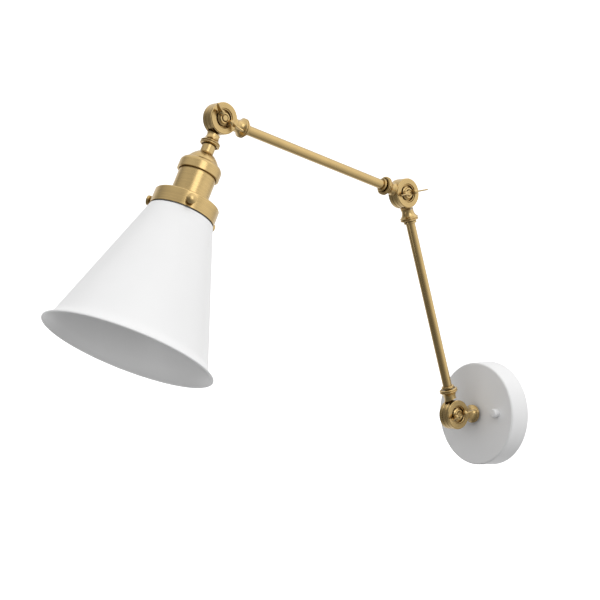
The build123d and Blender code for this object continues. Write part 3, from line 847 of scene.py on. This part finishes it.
class SCONCE_OT_socket(PieceOperator, Operator):
    """Build the stem, the bell cap and the socket body, and finish the lampholder inside"""

    bl_idname = "sconce.socket"
    bl_label = "Socket"

    def execute(self, context):
        metal = brass("socket_brass", AT_HEAD, "turned", 0.27)
        steps = self.sizes.segments
        parts = {
            "head_stem_tube": (self.stem_outline(), "head_stem", 64),
            "socket_bell_cap": (self.cap_outline(), "socket_cap", steps),
            "socket_sleeve": (self.body_outline(), "socket_body", steps),
        }
        for name, (outline, node, count) in parts.items():
            make_piece(name, turned(outline, count), AT_HEAD, "head", metal, [node])
        self.build_thread_shell()
        finish_node(
            "socket_insulator", mineral("porcelain_body", self.colours.porcelain, AT_HEAD, 0.45)
        )
        finish_node(
            "insulating_sleeve", mineral("sleeve_fibre", self.colours.fibre, AT_HEAD, 0.75)
        )
        finish_node("socket_leads", mineral("lead_jacket", self.colours.wire, AT_HEAD, 0.45, 900))
        finish_node("stem_locknut", plated("stem_nut_zinc", self.colours.zinc, AT_HEAD))
        for node in ("centre_contact", "terminal_screws", "socket_ring_nut"):
            finish_node(node, metal)
        return {"FINISHED"}

    def stem_outline(self):
        return eased(
            [
                (4.15, 30.2, 0),
                (7.0, 30.2, 0.2),
                (7.0, 40.0, 0.15),
                (4.9, 40.0, 0),
                (4.9, 46.0, 0.4),
                (4.15, 46.0, 0),
            ]
        )

    def cap_outline(self):
        band, body = self.mm("cap_band_radius"), self.mm("socket_radius")
        top, end, gap = 57.0, 65.0, 0.5
        dome = arc((7.0, 40.0), (13.2, 45.3), (17.2, 51.4), 14)
        shoulder = arc((17.2, 51.4), (20.8, 53.6), (band, top), 12)
        inside = arc((16.2, 52.9), (12.4, 46.7), (8.0, 42.2), 12)
        corners = [
            (band, end, 0.5),
            (body + gap, end, 0.15),
            (body + gap, 60.0, 0),
            (body + 0.05, 60.0, 0),
            (body + 0.05, 55.0, 0),
            (16.2, 52.9, 0),
        ]
        ring = [(4.9, 40.0), (7.0, 40.0), *dome, *shoulder]
        return eased([*plain(ring), *corners, *plain(inside), (4.9, 42.2, 0)])

    def body_outline(self):
        radius = self.mm("socket_radius")
        return eased(
            [
                (radius - 0.8, 55.0, 0),
                (radius, 55.0, 0.1),
                (radius, 104.0, 0.3),
                (radius - 0.8, 104.0, 0.2),
            ]
        )

    def build_thread_shell(self):
        """Rolled lampholder thread: a wavy wall closed by a collar at the porcelain."""
        bore, wall, pitch = 13.2, 0.4, 3.6
        low, high = 74.0, 101.0
        rows = int((high - low) / pitch * 10)
        heights = [low + (high - low) * i / rows for i in range(rows + 1)]
        wave = [(bore + 0.22 + 0.2 * cos(2 * pi * (h - low) / pitch), h) for h in heights]
        inner = [(r - wall, h) for r, h in wave]
        outline = [*wave, *reversed(inner), (5.5, low + wall), (5.5, low)]
        metal = plated("thread_shell_metal", self.colours.shell, AT_HEAD, 1.0, 0.3, 400)
        make_piece(
            "lamp_thread_shell", turned(outline, 96), AT_HEAD, "head", metal, [
                "screw_shell"
            ]
        )


class SCONCE_OT_shade_ring(PieceOperator, Operator):
    """Build the ring that holds the shade and its three thumb screws"""

    bl_idname = "sconce.shade_ring"
    bl_label = "Shade ring"

    def execute(self, context):
        radius, bore = self.mm("ring_radius"), self.mm("socket_radius") + 0.02
        wall, top, end = 1.2, 94.0, 110.4
        metal = brass("shade_ring_brass", AT_HEAD, "turned", 0.27)
        outline = eased(
            [
                (bore, top, 0.2),
                (radius, top, 1.6),
                (radius, end, 0.3),
                (radius - wall, end, 0.2),
                (radius - wall, top + wall, 0.4),
                (bore, top + wall, 0),
            ],
            steps=6,
        )
        make_piece(
            "shade_holder_ring",
            turned(outline, self.sizes.segments),
            AT_HEAD,
            "head",
            metal,
            ["shade_gallery"],
        )
        for i in range(3):
            self.build_thumb_screw(i + 1, metal)
        return {"FINISHED"}

    def build_thumb_screw(self, number, metal):
        """One domed screw on a short collar, with a rounded ball crown."""
        radial = Vector(JOINTS[f"thumb_screw_{number}_travel"]["axis"])
        low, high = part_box(f"shade_thumb_screw_{number}")
        level = ((low + high) / 2 - HEAD_PIVOT).dot(HEAD_AXIS)
        turn = Matrix((HEAD_AXIS.cross(radial), HEAD_AXIS, radial)).transposed().to_4x4()
        place = Matrix.Translation(HEAD_PIVOT + HEAD_AXIS * level) @ turn
        collar = self.mm("ring_radius") + 0.2
        shank, neck, head, foot, top = 1.6, 2.6, 5.2, 37.2, 42.2
        rim = top - 1.6
        outline = [
            (0, 30.5),
            (shank, 30.5),
            (shank, collar),
            (neck, collar),
            *arc((neck, collar), (neck - 0.35, (collar + foot) / 2), (neck, foot), 6),
            *arc((neck, foot), (neck + 1.6, foot + 0.2), (head, foot + 0.9), 6),
            (head, rim),
            *arc((head, rim), (head * 0.55, top - 0.46), (0, top), 10),
        ]
        make_piece(
            f"shade_screw_{number}",
            turned(outline, 48, closed=False),
            place,
            f"thumb_screw_{number}",
            metal,
            [f"shade_thumb_screw_{number}"],
        )


class SCONCE_OT_shade(PieceOperator, Operator):
    """Build the spun white shade with its neck, cone, flare and rolled rim"""

    bl_idname = "sconce.shade"
    bl_label = "Shade"

    def execute(self, context):
        wall = self.mm("shade_wall")
        outside = self.surface(0)
        inside = self.surface(wall)
        rim, level, bead = self.mm("rim_radius"), 258.6, 1.1
        roll = [
            (rim + bead * cos(radians(a)), level + bead * sin(radians(a))) for a in range(
                -120, 151, 18
            )
        ]
        outline = [*outside, *roll, *reversed(inside)]
        white = enamel("shade_enamel", AT_HEAD)
        make_piece(
            "cone_shade", turned(outline, self.sizes.segments),
            AT_HEAD, "head", white, [
                "shade"
            ]
        )
        return {"FINISHED"}

    def surface(self, inset):
        """One side of the sheet from the lip at the top down to the rim, moved in by inset."""
        neck, top, end = self.mm("shade_neck_radius"), self.mm("cone_top_radius"), self.mm(
            "cone_end_radius"
        )
        rim = self.mm("rim_radius")
        neck_end = (neck - inset, 108.9 + inset)
        shoulder = (33.0 - inset * 0.8, 111.5 + inset)
        cone_start = (top - inset, 112.9 + inset * 0.6)
        cone_end = (end - inset, 247.0 + inset * 0.3)
        lip = [(neck - inset, 96.7)] if inset else [(31.9, 96.7), (31.9, 97.9), (neck, 97.9)]
        return [
            *lip,
            neck_end,
            *arc(neck_end, (31.2 - inset * 0.8, 110.9 + inset), shoulder, 6),
            *arc(shoulder, (33.8 - inset * 0.9, 111.95 + inset), cone_start, 6),
            *self.straight(cone_start, cone_end, 24),
            *arc(
                cone_end,
                (82.7 - inset * 0.8, 253.3 + inset * 0.5),
                (rim - 0.7 - inset * 0.4, 257.7 + inset),
                12,
            ),
        ]

    def straight(self, start, end, steps):
        """Evenly spaced points, start left out, so that the long cone keeps square faces."""
        (x0, y0), (x1, y1) = start, end
        return [
            (x0 + (x1 - x0) * i / steps, y0 + (y1 - y0) * i / steps) for i in range(1, steps + 1)
        ]


class SCONCE_OT_stage(PieceOperator, Operator):
    """Set the floor and backdrop, the soft lights and the camera"""

    bl_idname = "sconce.stage"
    bl_label = "Stage"

    def execute(self, context):
        self.build_sweep()
        self.build_world()
        self.build_lights()
        self.build_camera()
        bpy.context.scene.view_settings.view_transform = "Standard"
        return {"FINISHED"}

    def build_sweep(self):
        """A round floor that curves up into a wall all the way round."""
        level, floor, cove, height = -420, 5200, 2200, 5200
        outline = [(0, level), (floor, level)]
        outline += arc(
            (floor, level),
            (floor + cove * sin(pi / 4), level + cove * (1 - cos(pi / 4))),
            (floor + cove, level + cove),
            16,
        )
        outline.append((floor + cove, level + height))
        bm = turned(outline, 96, closed=False)
        bmesh.ops.reverse_faces(bm, faces=bm.faces)
        mesh = bpy.data.meshes.new("studio_sweep")
        bm.to_mesh(mesh)
        bm.free()
        mesh.shade_smooth()
        nodes = Nodes("studio_paper")
        nodes.shade(
            Base_Color=self.colours.floor,
            Roughness=0.9,
            Emission_Color=(1, 1, 1, 1),
            Emission_Strength=0.75,
        )
        mesh.materials.append(nodes.material)
        sweep = bpy.data.objects.new("studio_sweep", mesh)
        sweep.visible_diffuse = False
        sweep.visible_glossy = False
        bpy.context.scene.collection.objects.link(sweep)

    def build_world(self):
        """Soft light all round: pale above, behind and on the right, dim on the left and below."""
        world = bpy.data.worlds.new("studio_world")
        world.use_nodes = True
        nodes = NodeTree(world.node_tree)
        split = nodes.add("ShaderNodeSeparateXYZ")
        nodes.link(nodes.add("ShaderNodeTexCoord").outputs["Generated"], split.inputs[0])
        turn = radians(VIEW_AZIMUTH)
        rightward = nodes.math(
            "MULTIPLY_ADD", split.outputs["Y"], sin(turn), nodes.math(
                "MULTIPLY", split.outputs["X"], cos(turn)
            )
        )
        across = nodes.ramp(rightward, -0.7, 0.95, 0.0, 1.0)
        sideways = nodes.math("MULTIPLY_ADD", nodes.math("POWER", across, 3.0), 1.0, 0.25)
        height = nodes.ramp(split.outputs["Z"], -0.35, 0.45, 0.72, 1.0)
        overhead = nodes.ramp(split.outputs["Z"], 0.45, 0.8, 0.0, 0.7)
        away = nodes.math(
            "MULTIPLY_ADD", split.outputs["Y"], cos(turn), nodes.math(
                "MULTIPLY", split.outputs["X"], -sin(turn)
            )
        )
        backdrop = nodes.ramp(away, 0.15, 0.75, 0.0, 0.9)
        level = nodes.math(
            "MAXIMUM", nodes.math("MULTIPLY_ADD", sideways, height, overhead), backdrop
        )
        background = world.node_tree.nodes["Background"]
        background.inputs["Color"].default_value = (1, 1, 1, 1)
        nodes.link(level, background.inputs["Strength"])
        bpy.context.scene.world = world

    def build_lights(self):
        """A softbox right of the camera and a broad fill on the left, kept out of reflections."""
        key = bpy.data.lights.new("key_softbox", "AREA")
        key.shape, key.size, key.size_y, key.energy = "RECTANGLE", 1.4, 2.0, 13.5
        self.place_lamp(key, (2.5, -0.9, 1.5), LAMP_AIM)
        fill = bpy.data.lights.new("left_fill", "AREA")
        fill.shape, fill.size, fill.size_y, fill.energy = "RECTANGLE", 2.2, 2.2, 22
        self.place_lamp(fill, (0.6, -2.8, 0.3), LAMP_AIM, reflected=False)

    def place_lamp(self, light, position, aim, reflected=True):
        lamp = bpy.data.objects.new(light.name, light)
        lamp.location = position
        lamp.visible_glossy = reflected
        lamp.visible_camera = reflected
        lamp.rotation_mode = "QUATERNION"
        lamp.rotation_quaternion = (Vector(aim) - Vector(position)).to_track_quat("-Z", "Y")
        bpy.context.scene.collection.objects.link(lamp)

    def build_camera(self):
        """The lamp seen from its front right, level with the arms."""
        azimuth, elevation = radians(VIEW_AZIMUTH), radians(VIEW_ELEVATION)
        back = Vector(
            (sin(azimuth) * cos(elevation), -cos(azimuth) * cos(elevation), sin(elevation))
        )
        right = Vector((cos(azimuth), sin(azimuth), 0))
        up = back.cross(right)
        data = bpy.data.cameras.new("camera")
        data.lens = 95.35
        data.sensor_width = 36.0
        data.clip_start, data.clip_end = 0.05, 50
        camera = bpy.data.objects.new("camera", data)
        camera.matrix_world = Matrix.Translation(
            back * VIEW_DISTANCE + right * VIEW_ACROSS + up * VIEW_UP
        ) @ Matrix((right, up, back)).transposed().to_4x4()
        bpy.context.scene.collection.objects.link(camera)
        bpy.context.scene.camera = camera


class SCONCE_PT_panel(Panel):
    bl_label = "Swing Arm Sconce"
    bl_idname = "SCONCE_PT_panel"
    bl_space_type = "VIEW_3D"
    bl_region_type = "UI"
    bl_category = "Sconce"

    def draw(self, context):
        layout = self.layout
        for operator in OPERATORS:
            layout.operator(operator.bl_idname)
        for group in (context.scene.sconce_sizes, context.scene.sconce_colours):
            box = layout.box()
            for key in group.__annotations__:
                box.prop(group, key)


OPERATORS = (
    SCONCE_OT_canopy,
    SCONCE_OT_wall_hardware,
    SCONCE_OT_knuckles,
    SCONCE_OT_hinge_hardware,
    SCONCE_OT_arms,
    SCONCE_OT_socket,
    SCONCE_OT_shade_ring,
    SCONCE_OT_shade,
    SCONCE_OT_stage,
)
CLASSES = (SconceSizes, SconceColours, *OPERATORS, SCONCE_PT_panel)


def register():
    for cls in CLASSES:
        bpy.utils.register_class(cls)
    bpy.types.Scene.sconce_sizes = PointerProperty(type=SconceSizes)
    bpy.types.Scene.sconce_colours = PointerProperty(type=SconceColours)


def unregister():
    del bpy.types.Scene.sconce_colours
    del bpy.types.Scene.sconce_sizes
    for cls in reversed(CLASSES):
        bpy.utils.unregister_class(cls)


def main():
    register()
    bpy.ops.sconce.canopy()
    bpy.ops.sconce.wall_hardware()
    bpy.ops.sconce.knuckles()
    bpy.ops.sconce.hinge_hardware()
    bpy.ops.sconce.arms()
    bpy.ops.sconce.socket()
    bpy.ops.sconce.shade_ring()
    bpy.ops.sconce.shade()
    bpy.ops.sconce.stage()


if __name__ == "__main__":
    main()
